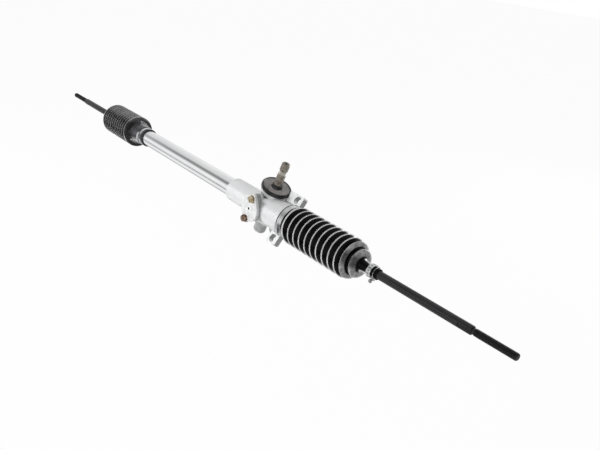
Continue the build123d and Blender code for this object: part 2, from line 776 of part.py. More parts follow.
def near_boot():
    """Large rubber boot between the housing's collar and the near tie rod."""
    cuff = COLLAR_R + PRESS
    cuff_end = NEAR_LIP_X + NEAR_CUFF
    grip = NEAR_GRIP_X - GRIP_BAND
    waist_x = (NEAR_LAST_CREST_X + SMALL_CREST_X) / 2
    waist_r = SMALL_CREST_R - 4.0
    outside = [(NEAR_LIP_X, cuff + BOOT_WALL), (cuff_end, cuff + BOOT_WALL)]
    outside += folds(NEAR_FIRST_CREST_X, NEAR_LAST_CREST_X, NEAR_CREST_COUNT, CREST_R, VALLEY_R)
    outside += [
        (waist_x, waist_r),
        (SMALL_CREST_X, SMALL_CREST_R),
        (NECK_X, NECK_R + 1),
        (grip, NECK_R),
        (NEAR_BOOT_END_X, NECK_R),
    ]
    inside = [
        (NEAR_LIP_X, cuff),
        (cuff_end, cuff),
        (cuff_end, VALLEY_R - BOOT_WALL),
        (NEAR_LAST_CREST_X, VALLEY_R - BOOT_WALL),
        (waist_x, waist_r - BOOT_WALL),
        (SMALL_CREST_X, waist_r - BOOT_WALL),
        (grip, ROD_R + SOFT),
        (NEAR_BOOT_END_X, ROD_R + SOFT),
    ]
    return turned(RACK_FRAME, outside + inside[::-1])


def far_boot():
    """Smaller rubber boot between the tube and the far tie rod."""
    cuff = TUBE_R + PRESS
    lip = -FAR_LIP_X
    cuff_end = lip + FAR_CUFF
    grip = -FAR_GRIP_X - GRIP_BAND
    outside = [
        (lip, cuff + BOOT_WALL),
        (cuff_end, cuff + BOOT_WALL),
        (cuff_end + 2, FAR_NECK_R - 2),
        (-FAR_NECK_X, FAR_NECK_R),
    ]
    outside += folds(-FAR_FIRST_CREST_X, -FAR_LAST_CREST_X, FAR_CREST_COUNT, FAR_CREST_R, FAR_VALLEY_R)
    outside += [(-FAR_SHOULDER_X, NECK_R + 4), (grip, NECK_R), (-FAR_BOOT_END_X, NECK_R)]
    inside = [
        (lip, cuff),
        (cuff_end, cuff),
        (cuff_end + 2, FAR_NECK_R - 2 - BOOT_WALL),
        (-FAR_NECK_X, FAR_NECK_R - BOOT_WALL),
        (-FAR_FIRST_CREST_X, FAR_VALLEY_R - BOOT_WALL),
        (-FAR_LAST_CREST_X, FAR_VALLEY_R - BOOT_WALL),
        (-FAR_SHOULDER_X, NECK_R + 4 - BOOT_WALL),
        (grip, ROD_R + SOFT),
        (-FAR_BOOT_END_X, ROD_R + SOFT),
    ]
    return turned(FAR_FRAME, outside + inside[::-1])


def band_clamp(frame, middle, width, inner, angle):
    """Steel band with the raised housing of its tightening screw."""
    start = middle - width / 2
    end = middle + width / 2
    band = ring(frame, start, end, inner, inner + BAND_THICK)
    block = Pos(inner + BAND_THICK / 2, 0, 0) * Box(
        LUG_OF_BAND, 2 * LUG_OF_BAND, width * 0.8, align=(Align.MIN, Align.CENTER, Align.CENTER)
    )
    bore = Pos(inner + BAND_THICK + LUG_OF_BAND / 2, 0, 0) * Rot(90, 0, 0) * Cylinder(
        BAND_SCREW_R + PRESS, 4 * LUG_OF_BAND
    )
    place = frame * Pos(0, 0, middle) * Rot(0, 0, angle)
    return band + (place * block - bar(frame, start - 1, end + 1, inner + 0.1)) - place * bore


def band_screw(frame, middle, inner, angle):
    """Slotted screw of a band clamp."""
    length = 2 * LUG_OF_BAND + 5
    head = Cylinder(BAND_SCREW_R + 0.8, 2.5, align=ON_BASE)
    slot = Pos(0, 0, 2.5) * Box(0.8, 8, 1.6)
    body = Pos(0, 0, -length / 2) * Cylinder(BAND_SCREW_R, length, align=ON_BASE)
    body = body + Pos(0, 0, length / 2) * (head - slot)
    centre = inner + BAND_THICK + LUG_OF_BAND / 2
    place = frame * Pos(0, 0, middle) * Rot(0, 0, angle) * Pos(centre, 0, 0) * Rot(90, 0, 0)
    return place * body


def clamp_places():
    """Frame, middle, width, inner radius and screw angle of each band clamp, by its name."""
    near_r = COLLAR_R + BOOT_WALL + 2 * PRESS
    far_r = TUBE_R + BOOT_WALL + 2 * PRESS
    grip_r = NECK_R + SEAT
    near_x = NEAR_LIP_X + NEAR_BAND_IN + NEAR_BAND / 2
    far_x = -FAR_LIP_X + FAR_BAND_IN + FAR_BAND / 2
    return {
        "near_boot_clamp": (RACK_FRAME, near_x, NEAR_BAND, near_r, NEAR_SCREW_ANGLE),
        "far_boot_clamp": (FAR_FRAME, far_x, FAR_BAND, far_r, FAR_SCREW_ANGLE),
        "near_rod_clamp": (RACK_FRAME, NEAR_GRIP_X, GRIP_BAND, grip_r, GRIP_SCREW_ANGLE),
        "far_rod_clamp": (FAR_FRAME, -FAR_GRIP_X, GRIP_BAND, grip_r, GRIP_SCREW_ANGLE),
    }


def save(name, shape):
    """Writes one node, as a single solid or as a group of separate solids."""
    if isinstance(shape, (list, tuple)):
        solids = [solid for piece in shape for solid in piece.solids()]
    else:
        solids = list(shape.solids())
    result = solids[0] if len(solids) == 1 else Compound(children=solids)
    export_step(result, os.path.join("parts", name + ".step"))


def main():
    os.makedirs("parts", exist_ok=True)
    outer_race, inner_race = bearing_races()
    nodes = {
        "pinion_housing": pinion_housing(),
        "rack_tube": rack_tube(),
        "rack_bush": rack_bush(),
        "rack_bar": rack_bar(),
        "pinion_shaft": pinion_shaft(),
        "upper_bearing_outer_race": outer_race,
        "upper_bearing_inner_race": inner_race,
        "bearing_circlip": circlip(),
        "pinion_seal": pinion_seal(),
        "lower_bush": lower_bush(),
        "bottom_plug": bottom_plug(),
        "dust_cover": dust_cover(),
        "yoke_slipper": yoke_slipper(),
        "yoke_pad": yoke_pad(),
        "yoke_o_ring": yoke_o_ring(),
        "yoke_spring": yoke_spring(),
        "cover_gasket": gasket(),
        "yoke_cover": yoke_cover(),
        "cover_bolts": cover_bolts(),
        "near_boot": near_boot(),
        "far_boot": far_boot(),
    }
    for end, frame, ball, tip in (
        ("near", RACK_FRAME, NEAR_BALL_X, NEAR_TIP_X),
        ("far", FAR_FRAME, -FAR_BALL_X, -FAR_TIP_X),
    ):
        nodes[end + "_lock_washer"] = lock_washer(frame, ball - SOCKET_FACE)
        nodes[end + "_ball_socket"] = ball_socket(frame, ball)
        nodes[end + "_ball_seat"] = ball_seat(frame, ball)
        nodes[end + "_tie_rod"] = tie_rod(frame, ball, tip)
    for name, (frame, middle, width, inner, angle) in clamp_places().items():
        nodes[name] = band_clamp(frame, middle, width, inner, angle)
        nodes[name + "_screw"] = band_screw(frame, middle, inner, angle)
    for name, shape in nodes.items():
        save(name, shape)


main()
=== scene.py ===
"""Rack and pinion steering gear: cast housing, steel tube, rubber boots and threaded tie rods."""
from math import cos, pi, radians, sin, sqrt

import bmesh
import bpy
from mathutils import Matrix, Vector


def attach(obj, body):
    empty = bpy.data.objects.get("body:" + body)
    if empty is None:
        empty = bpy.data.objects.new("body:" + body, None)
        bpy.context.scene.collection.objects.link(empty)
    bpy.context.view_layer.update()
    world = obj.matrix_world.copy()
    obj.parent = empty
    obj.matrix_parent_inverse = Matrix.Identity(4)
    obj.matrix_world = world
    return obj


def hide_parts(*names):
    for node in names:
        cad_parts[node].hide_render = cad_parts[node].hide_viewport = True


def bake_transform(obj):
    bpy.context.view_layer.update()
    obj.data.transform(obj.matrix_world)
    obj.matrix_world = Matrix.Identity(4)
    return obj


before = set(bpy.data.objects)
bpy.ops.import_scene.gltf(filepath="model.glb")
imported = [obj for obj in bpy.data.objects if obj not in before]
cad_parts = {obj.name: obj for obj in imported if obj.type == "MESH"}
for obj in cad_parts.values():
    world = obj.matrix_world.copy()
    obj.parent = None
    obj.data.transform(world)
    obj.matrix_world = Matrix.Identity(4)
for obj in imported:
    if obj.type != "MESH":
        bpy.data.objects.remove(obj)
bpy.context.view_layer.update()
MM = 0.001

# ---- camera ----
# The view along the rack from the pinion end, a little above it. The lens matches a frame of
# four by three, 600 by 450.
SENSOR_WIDTH = 36.0
LENS = 39.06
camera_right = Vector((0.63354, 0.76116, 0.13882))
camera_up = Vector((-0.37391, 0.14412, 0.91620))
camera_back = Vector((0.67736, -0.63236, 0.37591))
camera_place = Vector((0.71493, -0.63363, 0.38121))
camera_data = bpy.data.cameras.new("camera")
camera_data.sensor_width = SENSOR_WIDTH
camera_data.lens = LENS
camera = bpy.data.objects.new("camera", camera_data)
turn = Matrix((camera_right, camera_up, camera_back)).transposed()
camera.matrix_world = Matrix.Translation(camera_place) @ turn.to_4x4()
bpy.context.collection.objects.link(camera)
bpy.context.scene.camera = camera
bpy.context.scene.view_settings.view_transform = "Standard"


# ---- studio ----
# A wide pale floor under the part, and white surroundings for the camera. Shiny surfaces see the
# surroundings as bands of light and dark, which give the long metal pieces their shading.
class Wire:
    """One output of a shader node. It adds, multiplies and compares like a number."""

    def __init__(self, tree, socket):
        self.tree = tree
        self.socket = socket

    def node(self, kind, settings=None, inputs=None, output=0):
        """Adds a node of a type: its settings first, then the values or links of its sockets."""
        node = self.tree.nodes.new(kind)
        for name, value in (settings or {}).items():
            if name == "stops":
                elements = node.color_ramp.elements
                for element, (place, shade) in zip(elements, (value[0], value[-1])):
                    element.position = place
                    element.color = (shade, shade, shade, 1)
                for place, shade in value[1:-1]:
                    elements.new(place).color = (shade, shade, shade, 1)
            else:
                setattr(node, name, value)
        for name, value in (inputs or {}).items():
            if isinstance(value, Wire):
                self.tree.links.new(value.socket, node.inputs[name])
            elif node.inputs[name].type == "RGBA":
                node.inputs[name].default_value = (*value, 1)
            else:
                node.inputs[name].default_value = value
        return Wire(self.tree, node.outputs[output])

    def math(self, operation, first, second=0.0):
        return self.node("ShaderNodeMath", {"operation": operation}, {0: first, 1: second})

    def __add__(self, other):
        return self.math("ADD", self, other)

    def __sub__(self, other):
        return self.math("SUBTRACT", self, other)

    def __rsub__(self, other):
        return self.math("SUBTRACT", other, self)

    def __mul__(self, other):
        return self.math("MULTIPLY", self, other)

    def __abs__(self):
        return self.math("ABSOLUTE", self)

    __radd__ = __add__
    __rmul__ = __mul__

    def smaller(self, other):
        return self.math("MINIMUM", self, other)

    def larger(self, other):
        return self.math("MAXIMUM", self, other)

    def sine(self):
        return self.math("SINE", self)

    def rise(self, low, high):
        """0 below low, 1 above high, and smooth between."""
        inputs = {"Value": self, "From Min": low, "From Max": high}
        return self.node("ShaderNodeMapRange", {"interpolation_type": "SMOOTHSTEP"}, inputs)

    def fall(self, low, high):
        """1 below low, 0 above high, and smooth between."""
        return 1.0 - self.rise(low, high)

    def blend(self, first, second):
        """The first colour where this is 0, the second where it is 1."""
        return self.node("ShaderNodeMix", {"data_type": "RGBA"}, {0: self, 6: first, 7: second}, 2)

    def part(self, axis):
        """One coordinate of a vector: 0, 1 or 2."""
        return self.node("ShaderNodeSeparateXYZ", {}, {0: self}, axis)

    def vector(self, operation, other, output=0):
        settings = {"operation": operation}
        return self.node("ShaderNodeVectorMath", settings, {0: self, 1: other}, output)

    def noise(self, scale, detail=3.0, roughness=0.55, stretch=(1, 1, 1)):
        """Noise of about scale features to the metre; a small stretch draws it out on an axis."""
        place = self.vector("MULTIPLY", stretch)
        inputs = {"Vector": place, "Scale": scale, "Detail": detail, "Roughness": roughness}
        return self.node("ShaderNodeTexNoise", {}, inputs)

    def away_from(self, centre, axis):
        """Distance from an axis through a centre."""
        arm = self.vector("SUBTRACT", centre).vector("CROSS_PRODUCT", axis)
        return self.node("ShaderNodeVectorMath", {"operation": "LENGTH"}, {0: arm}, 1)

    def along(self, centre, axis):
        """Distance along an axis from a centre."""
        return self.vector("SUBTRACT", centre).vector("DOT_PRODUCT", axis, 1)


def ray_kinds(tree):
    """Wires of 0 or 1: rays from the camera, from gloss, and both with those through glass."""
    path = tree.nodes.new("ShaderNodeLightPath")
    by_camera = Wire(tree, path.outputs["Is Camera Ray"])
    by_gloss = Wire(tree, path.outputs["Is Glossy Ray"])
    through_glass = Wire(tree, path.outputs["Is Transmission Ray"])
    return by_camera, by_gloss, by_camera.larger(by_gloss).larger(through_glass)


FLOOR_Z = -0.27
FLOOR_HALF = 30.0
FLOOR_GLOW = 0.95  # share of the floor that is even light; the rest takes the shadow
NEAR_DIM = 0.85    # how much darker shiny surfaces see the floor in front of the part
BEHIND_DIM = 0.5   # and behind it
floor_shape = bmesh.new()
bmesh.ops.create_grid(floor_shape, x_segments=1, y_segments=1, size=FLOOR_HALF)
bmesh.ops.translate(floor_shape, verts=floor_shape.verts, vec=(0, 0, FLOOR_Z))
floor_mesh = bpy.data.meshes.new("floor")
floor_shape.to_mesh(floor_mesh)
floor_shape.free()
floor = bpy.data.objects.new("floor", floor_mesh)
bpy.context.collection.objects.link(floor)

floor_paint = bpy.data.materials.new("floor_paint")
floor_paint.use_nodes = True
tree = floor_paint.node_tree
lit = tree.nodes["Principled BSDF"]
lit.inputs["Base Color"].default_value = (0.9, 0.9, 0.9, 1)
lit.inputs["Roughness"].default_value = 0.9
lit.inputs["Specular IOR Level"].default_value = 0.0
_, by_gloss, shown = ray_kinds(tree)
depth = Wire(tree, tree.nodes.new("ShaderNodeTexCoord").outputs["Object"]).part(1)
ahead = depth * -1.0
dim = ahead.rise(0.22, 0.40) * ahead.fall(0.55, 0.9) * NEAR_DIM
dim = dim.larger(depth.rise(-0.05, 0.05) * BEHIND_DIM)
glow = tree.nodes.new("ShaderNodeEmission")
tree.links.new((1.0 - by_gloss * dim).socket, glow.inputs["Color"])
cover = tree.nodes.new("ShaderNodeMixShader")
tree.links.new((shown * FLOOR_GLOW).socket, cover.inputs[0])
tree.links.new(lit.outputs[0], cover.inputs[1])
tree.links.new(glow.outputs[0], cover.inputs[2])
tree.links.new(cover.outputs[0], tree.nodes["Material Output"].inputs["Surface"])
floor_mesh.materials.append(floor_paint)

AMBIENT = 0.40      # brightness of the surroundings for everything but camera and gloss
SKY_BANDS = [       # brightness by angle, from straight ahead over the top to straight behind
    (0.00, 1.05), (0.07, 1.02), (0.13, 0.72), (0.20, 0.34), (0.26, 0.22), (0.33, 0.32),
    (0.39, 0.66), (0.45, 0.76), (0.58, 0.80), (0.72, 0.84), (0.88, 0.95), (1.00, 1.00),
]
world = bpy.data.worlds.new("surroundings")
world.use_nodes = True
bpy.context.scene.world = world
tree = world.node_tree
sky = Wire(tree, tree.nodes.new("ShaderNodeTexCoord").outputs["Generated"])
height = sky.part(2)
front = sky.part(1) * -1.0
turned_up = height.math("ARCTAN2", height, front) * (1 / pi)
bands = turned_up.node("ShaderNodeValToRGB", {"stops": SKY_BANDS}, {0: turned_up})
by_camera, _, shown = ray_kinds(tree)
to_the_right = sky.part(0).rise(0.25, 0.75)
to_the_left = (sky.part(0) * -1.0).rise(0.80, 0.90)
glossy = bands.larger(to_the_left) * (1.0 - 0.75 * to_the_right)
level = shown * glossy + (1.0 - shown) * AMBIENT
level = by_camera + (1.0 - by_camera) * level
backdrop = tree.nodes["Background"]
tree.links.new(level.socket, backdrop.inputs["Color"])
backdrop.inputs["Strength"].default_value = 1.0


def lamp(name, place, aim, width, height, power):
    """A soft rectangular lamp that points at a spot on the part."""
    data = bpy.data.lights.new(name, "AREA")
    data.shape = "RECTANGLE"
    data.size = width
    data.size_y = height
    data.energy = power
    light = bpy.data.objects.new(name, data)
    light.rotation_euler = (Vector(aim) - Vector(place)).to_track_quat("-Z", "Y").to_euler()
    light.location = place
    bpy.context.collection.objects.link(light)
    return light


key = lamp("key", (-0.9, -1.9, 0.62), (-0.05, 0, 0), 1.6, 1.0, 42.0)
key.visible_glossy = False
lamp("fill", (1.4, -1.0, 0.9), (0, 0, 0), 1.0, 1.0, 4.0)
lamp("rim", (0.4, 1.8, 0.5), (-0.1, 0, 0), 1.6, 0.8, 10.0)


# ---- pinion housing ----
# One aluminium die casting: sleeve for the tube, barrel, pinion tower, yoke boss and two lugs.
# Its skin is shot-blasted. The flange, the lug faces and the end of the collar are machined.
def new_material(name):
    """A material, its shader and the wire that carries the object coordinates."""
    material = bpy.data.materials.new(name)
    material.use_nodes = True
    tree = material.node_tree
    shader = tree.nodes["Principled BSDF"]
    place = Wire(tree, tree.nodes.new("ShaderNodeTexCoord").outputs["Object"])
    return material, shader, place


def feed(shader, **wires):
    """Joins wires to the shader's sockets; the names are written with low lines for spaces."""
    for name, wire in wires.items():
        shader.id_data.links.new(wire.socket, shader.inputs[name.replace("_", " ")])


def set_shader(shader, **values):
    """Sets values on the shader's own sockets."""
    for name, value in values.items():
        shader.inputs[name.replace("_", " ")].default_value = value


def bump(height, depth, strength=1.0):
    """A normal from a height of 0 to 1 that stands for a depth in metres."""
    inputs = {"Height": height, "Distance": depth, "Strength": strength}
    return height.node("ShaderNodeBump", {}, inputs)


def dress(material, *nodes):
    """Gives CAD nodes a material."""
    for name in nodes:
        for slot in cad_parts[name].material_slots:
            slot.material = material


RACK_AXIS = (1.0, 0.0, 0.0)
LEAN = radians(19.5)
PINION_AXIS = (sin(LEAN), 0.0, cos(LEAN))
PINION_CENTRE = (-0.0575, 0.01189, 0.0)
YOKE_AXIS = (0.0, 1.0, 0.0)
YOKE_CENTRE = (-0.0575, 0.0, 0.0)
LUG_TURN = radians(55.0)
LUG_AXIS = (0.0, -sin(LUG_TURN), cos(LUG_TURN))
LUG_LINE = (0.0, cos(LUG_TURN), sin(LUG_TURN))

cast, shader, place = new_material("cast_aluminium")
grain = place.noise(900, 3)
clouds = place.noise(45, 4)
on_tower = place.away_from(PINION_CENTRE, PINION_AXIS)
tower_height = place.along(PINION_CENTRE, PINION_AXIS)
flange = on_tower.rise(0.0212, 0.0216) * tower_height.rise(0.0270, 0.0277)
flange = flange * tower_height.fall(0.0337, 0.0341) * on_tower.fall(0.0238, 0.0242)
lug_face = place.along((0, 0, 0), LUG_AXIS)
out_on_lug = abs(place.along((0, 0, 0), LUG_LINE))
lug_top = out_on_lug.rise(0.0262, 0.0268) * lug_face.rise(-0.0004, -0.0002)
end_face = place.part(0).rise(0.0227, 0.0229)
machined = (flange + lug_top + end_face).smaller(1.0)
# Painted shade: a shadow under the flange, on the lugs' sides and beside the yoke boss.
under_flange = on_tower.fall(0.0235, 0.0275) * tower_height.rise(0.0165, 0.0250)
under_flange = under_flange * tower_height.fall(0.0279, 0.0281)
under_flange = under_flange * place.part(1).fall(0.0, 0.006) * place.part(0).fall(-0.038, -0.030)
lug_side = out_on_lug.rise(0.0250, 0.0262) * (1.0 - machined)
corner = place.away_from(YOKE_CENTRE, YOKE_AXIS).rise(0.0165, 0.019)
corner = corner * place.part(1).fall(-0.0195, -0.016)
corner = corner * place.part(0).fall(-0.034, -0.028) * place.part(0).rise(-0.0575, -0.0565)
painted_shade = (under_flange * 0.92).larger(lug_side * (0.35 + clouds * 0.4)).larger(corner * 0.55)
skin = clouds.blend((0.72, 0.725, 0.73), (0.84, 0.845, 0.85))
skin = (grain.rise(0.35, 0.75) * 0.3).blend(skin, (0.56, 0.565, 0.57))
skin = painted_shade.blend(skin, (0.13, 0.13, 0.135))
bright = grain.blend((0.80, 0.805, 0.81), (0.88, 0.885, 0.89))
feed(
    shader,
    Base_Color=machined.blend(skin, bright),
    Metallic=0.45 + machined * 0.4 - lug_top * 0.6,
    Roughness=0.42 - machined * 0.18 + grain * 0.08,
    Normal=bump(grain * (1.0 - machined), 0.00025, 0.7),
)
dress(cast, "pinion_housing")

# ---- rack tube ----
# A bright drawn steel tube, pressed into the sleeve. The die leaves faint lines along it.
drawn, shader, place = new_material("drawn_steel")
lines = place.noise(700, 3, 0.6, (0.02, 1, 1))
stain = place.noise(30, 3, 0.5, (0.4, 1, 1))
tone = (lines * 0.5 + stain * 0.5).rise(0.35, 0.65)
# Painted shadow: a thin dark ring on the tube at the sleeve's mouth.
mouth_shadow = place.part(0).rise(-0.1412, -0.1406) * place.part(0).fall(-0.1380, -0.1375)
bare_steel = tone.blend((0.78, 0.785, 0.80), (0.88, 0.885, 0.89))
feed(
    shader,
    Base_Color=mouth_shadow.blend(bare_steel, (0.10, 0.10, 0.105)),
    Roughness=0.10 + lines * 0.10,
    Normal=bump(lines, 0.00004, 0.4),
)
set_shader(shader, Metallic=1.0)
dress(drawn, "rack_tube")

# ---- rack bush, ball seats and yoke liner ----
# Moulded in a pale low-friction plastic. The bush is pressed into the tube's open end.
plastic, shader, place = new_material("guide_plastic")
flow = place.noise(160, 3)
ivory = flow.blend((0.80, 0.79, 0.74), (0.88, 0.87, 0.83))
feed(shader, Base_Color=ivory, Roughness=0.42 + flow * 0.12)
dress(plastic, "rack_bush", "near_ball_seat", "far_ball_seat", "yoke_pad")

# ---- rack bar ----
# Ground steel bar with the teeth cut askew, to suit the leaning pinion.
ground, shader, place = new_material("ground_steel")
scratches = place.noise(1600, 2, 0.5, (1, 0.08, 0.08))
feed(
    shader,
    Base_Color=scratches.blend((0.46, 0.47, 0.49), (0.66, 0.67, 0.69)),
    Roughness=0.22 + scratches * 0.14,
    Normal=bump(scratches, 0.00003, 0.3),
)
set_shader(shader, Metallic=1.0)
dress(ground, "rack_bar")

# ---- ball sockets ----
# Turned and phosphated steel cups, screwed into the rack's ends and rolled over the ball seats.
phosphated, shader, place = new_material("phosphated_steel")
crystals = place.noise(1400, 3)
feed(
    shader,
    Base_Color=crystals.blend((0.17, 0.17, 0.175), (0.30, 0.30, 0.305)),
    Roughness=0.42 + crystals * 0.2,
    Normal=bump(crystals, 0.00005, 0.4),
)
set_shader(shader, Metallic=0.8)
dress(phosphated, "near_ball_socket", "far_ball_socket")

# ---- springs, circlip and tab washers ----
# Oiled spring steel, blued by its heat treatment.
spring, shader, place = new_material("spring_steel")
heat = place.noise(220, 3)
blued = heat.blend((0.14, 0.14, 0.15), (0.26, 0.25, 0.26))
feed(shader, Base_Color=blued, Roughness=0.3 + heat * 0.15)
set_shader(shader, Metallic=1.0)
dress(spring, "bearing_circlip", "yoke_spring", "near_lock_washer", "far_lock_washer")

# ---- pinion shaft ----
# One steel piece: seven leaning teeth, a bearing seat and a splined top for the column's joint.
# Its zinc has a brown tint; the pinch bolt's groove stays bright.
shaft, shader, place = new_material("tinted_zinc")
on_shaft = place.away_from(PINION_CENTRE, PINION_AXIS)
shaft_height = place.along(PINION_CENTRE, PINION_AXIS)
mottle = place.noise(260, 4)
fine = place.noise(1500, 2)
# Painted shade: the valleys between the splines and the centre hole in the top end are dark.
valleys = on_shaft.fall(0.0062, 0.0068) * shaft_height.rise(0.0495, 0.0505)
in_groove = shaft_height.rise(0.0655, 0.0665) * shaft_height.fall(0.0720, 0.0730)
end_hole = on_shaft.fall(0.0021, 0.0024) * shaft_height.rise(0.0785, 0.0795)
end_hole = end_hole * shaft_height.fall(0.0858, 0.0862)
coat = mottle.rise(0.3, 0.7).blend((0.36, 0.32, 0.27), (0.74, 0.68, 0.59))
coat = (valleys * 0.75).blend(coat, (0.12, 0.105, 0.09))
coat = in_groove.blend(coat, mottle.blend((0.50, 0.47, 0.42), (0.78, 0.74, 0.67)))
coat = end_hole.blend(coat, (0.015, 0.013, 0.012))
feed(
    shader,
    Base_Color=coat,
    Metallic=0.85 - end_hole * 0.8,
    Roughness=0.22 + mottle * 0.16 + end_hole * 0.4,
    Normal=bump(fine, 0.00004, 0.4),
)
dress(shaft, "pinion_shaft")

# ---- upper bearing ----
# Ground bearing steel, with a thin oily shine.
bearing, shader, place = new_material("bearing_steel")
oil = place.noise(120, 2)
oiled = oil.blend((0.60, 0.61, 0.62), (0.74, 0.745, 0.75))
feed(shader, Base_Color=oiled, Roughness=0.1 + oil * 0.1)
set_shader(shader, Metallic=1.0)
dress(bearing, "upper_bearing_outer_race", "upper_bearing_inner_race")

# ---- seals ----
# Black nitrile rubber: the lip seal under the dust cover and the yoke's O-ring.
nitrile, shader, place = new_material("seal_rubber")
bloom = place.noise(300, 3)
sooty = bloom.blend((0.012, 0.012, 0.012), (0.03, 0.03, 0.03))
feed(shader, Base_Color=sooty, Roughness=0.45 + bloom * 0.2)
dress(nitrile, "pinion_seal", "yoke_o_ring")

# ---- lower bush ----
# Sintered bronze, soaked in oil.
bronze, shader, place = new_material("sintered_bronze")
pores = place.noise(2200, 2)
feed(
    shader,
    Base_Color=pores.blend((0.34, 0.22, 0.10), (0.60, 0.43, 0.21)),
    Roughness=0.36 + pores * 0.2,
    Normal=bump(pores, 0.00005, 0.5),
)
set_shader(shader, Metallic=1.0)
dress(bronze, "lower_bush")

# ---- dust cover ----
# A moulded rubber cap over the seal. Handling and dust have turned its top grey-brown; its rim
# and the neck round the shaft are still dark.
cap, shader, place = new_material("cap_rubber")
on_cap = place.away_from(PINION_CENTRE, PINION_AXIS)
cap_height = place.along(PINION_CENTRE, PINION_AXIS)
dust = place.noise(170, 5, 0.65)
specks = place.noise(900, 2)
rings = (on_cap * 4200.0).sine() * 0.5 + 0.5
rim = on_cap.rise(0.0215, 0.0222)
collar = on_cap.fall(0.0093, 0.0098)
top_face = cap_height.rise(0.0390, 0.0395) * (1.0 - rim) * (1.0 - collar)
dusty = dust.rise(0.3, 0.7) * 0.7 + specks * 0.3
grey = dusty.blend((0.20, 0.19, 0.185), (0.42, 0.405, 0.395))
grey = (rings * 0.12).blend(grey, (0.10, 0.095, 0.09))
feed(
    shader,
    Base_Color=top_face.blend((0.012, 0.012, 0.013), grey),
    Roughness=0.18 + top_face * 0.44 + specks * 0.06,
    Normal=bump(specks * 0.4 + rings * 0.6 * top_face, 0.00012, 0.5),
)
dress(cap, "dust_cover")

# ---- yoke and its cover ----
# The yoke slides in the boss behind the rack. A spring pushes it, and a zinc plated cover over a
# fibre gasket takes the spring. The pinion's bottom plug has the same plating.
turned_alloy, shader, place = new_material("turned_aluminium")
swirl = place.noise(800, 2)
turned = swirl.blend((0.66, 0.67, 0.68), (0.80, 0.81, 0.82))
feed(shader, Base_Color=turned, Roughness=0.25 + swirl * 0.1)
set_shader(shader, Metallic=1.0)
dress(turned_alloy, "yoke_slipper")

fibre, shader, place = new_material("gasket_fibre")
strands = place.noise(900, 4, 0.7, (1, 1, 0.3))
brown = strands.blend((0.22, 0.20, 0.17), (0.42, 0.39, 0.33))
feed(shader, Base_Color=brown, Roughness=0.8 + strands * 0.1)
dress(fibre, "cover_gasket")

plated, shader, place = new_material("bright_zinc")
spangle = place.noise(140, 4, 0.6)
nap = place.noise(1300, 2)
# Painted shade: the dimple in the middle of the cover is near black.
dimple = place.away_from(YOKE_CENTRE, YOKE_AXIS).fall(0.0021, 0.0025)
dimple = dimple * place.part(1).rise(-0.0298, -0.0292)
zinc = spangle.rise(0.3, 0.7).blend((0.70, 0.70, 0.705), (0.84, 0.845, 0.85))
feed(
    shader,
    Base_Color=dimple.blend(zinc, (0.03, 0.028, 0.027)),
    Metallic=0.35 - dimple * 0.3,
    Roughness=0.44 + nap * 0.12,
    Normal=bump(nap, 0.00005, 0.4),
)
dress(plated, "yoke_cover", "bottom_plug")

# ---- cover bolts ----
# Two M6 hexagon bolts in yellow passivated zinc; the lower one has gone brown.
passivated, shader, place = new_material("yellow_zinc")
tarnish = place.noise(330, 3)
upper = place.part(2).rise(-0.002, 0.002)
sheen = tarnish.rise(0.35, 0.65).blend((0.06, 0.032, 0.026), (0.46, 0.33, 0.25))
gold = tarnish.rise(0.35, 0.65).blend((0.38, 0.28, 0.14), (0.85, 0.80, 0.62))
feed(shader, Base_Color=upper.blend(sheen, gold), Roughness=0.3 + tarnish * 0.15)
set_shader(shader, Metallic=0.9)
dress(passivated, "cover_bolts")


# ---- near boot ----
# Moulded rubber bellows, glossy and very black. A wide band holds its cuff on the housing's
# collar and a small one its neck on the tie rod. The folds are broad, with tight valleys.
def lathe(outline, steps):
    """A bmesh turned about the rack's axis, from (x, radius) corners in mm."""
    shape = bmesh.new()
    corners = [shape.verts.new((x * MM, 0, r * MM)) for x, r in outline]
    for first, second in zip(corners, corners[1:]):
        shape.edges.new((first, second))
    if outline[0][1] > 0:
        shape.edges.new((corners[-1], corners[0]))
    bmesh.ops.spin(
        shape, geom=shape.verts[:] + shape.edges[:], cent=(0, 0, 0), axis=RACK_AXIS,
        dvec=(0, 0, 0), angle=2 * pi, steps=steps, use_merge=True,
    )
    bmesh.ops.remove_doubles(shape, verts=shape.verts, dist=1e-6)
    return shape


def spun(name, outline):
    """A closed rubber solid of revolution, from (x, radius) corners in mm."""
    shape = lathe(outline, BOOT_STEPS)
    bmesh.ops.recalc_face_normals(shape, faces=shape.faces)
    return piece(name, shape)


def piece(name, shape, crease=40.0):
    """Turns a bmesh into an object of its own, smooth except at edges sharper than the crease."""
    for face in shape.faces:
        face.smooth = True
    for edge in shape.edges:
        edge.smooth = not edge.is_manifold or edge.calc_face_angle(0) < radians(crease)
    mesh = bpy.data.meshes.new(name)
    shape.to_mesh(mesh)
    shape.free()
    made = bpy.data.objects.new(name, mesh)
    bpy.context.collection.objects.link(made)
    return made


def fold_row(crests, crest_r, valley_r, grain):
    """Corners of rounded folds between crests at x in mm, with grain corners to each fold."""
    corners = []
    for first, second in zip(crests, crests[1:]):
        for step in range(grain):
            share = step / grain
            swell = (0.5 + 0.5 * cos(2 * pi * share)) ** 0.8
            radius = valley_r + (crest_r - valley_r) * swell
            corners.append((first + share * (second - first), radius))
    return corners + [(crests[-1], crest_r)]


def edge_light(place, low, high, drop):
    """The light that rubber catches where it is seen almost edge on; least on the very edge."""
    edge_on = place.node("ShaderNodeFresnel", {}, {"IOR": RUBBER_IOR})
    return edge_on.rise(low, high) * (1.0 - edge_on.rise(0.35, 0.65) * drop)


